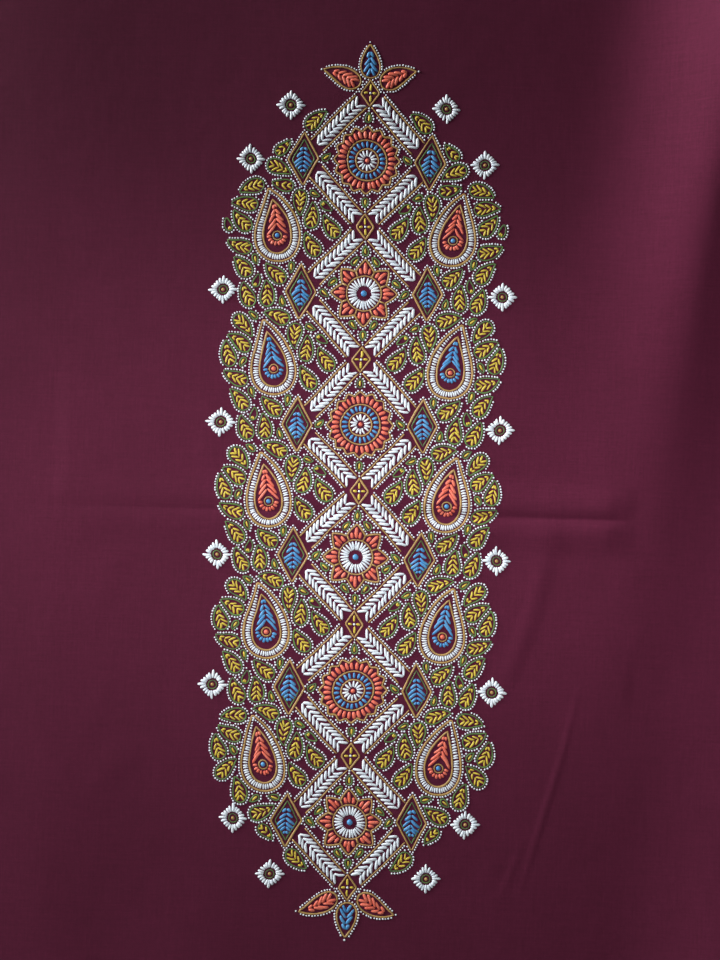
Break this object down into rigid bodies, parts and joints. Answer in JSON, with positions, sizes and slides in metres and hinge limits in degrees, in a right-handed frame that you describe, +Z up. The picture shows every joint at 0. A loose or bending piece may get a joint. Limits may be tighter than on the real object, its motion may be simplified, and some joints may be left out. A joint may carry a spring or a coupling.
{
  "type": "rogan painted cloth",
  "caption": "Cut length of plain-woven maroon cotton painted with a tall panel of raised oil-paste ornament, lying face up with a soft fold and a press crease.",
  "frame": {"origin": "under the middle of the cloth, on the surface that it lies on", "axes": "+X along the weft to the right, +Y along the warp towards the far end, +Z up out of the painted face"},
  "size_m": [0.56, 0.74, 0.058],
  "materials": {
    "dyed_cotton": "matt plain weave with fine slubs",
    "paint_white": "raised oil paste, satin",
    "paint_gold": "raised oil paste, satin",
    "paint_green": "raised oil paste, satin",
    "paint_yellow": "raised oil paste, satin",
    "paint_orange": "raised oil paste, satin",
    "paint_blue": "raised oil paste, satin"
  },
  "bodies": {
    "root": {"painted_cloth": "dyed_cotton"}
  },
  "joints": []
}
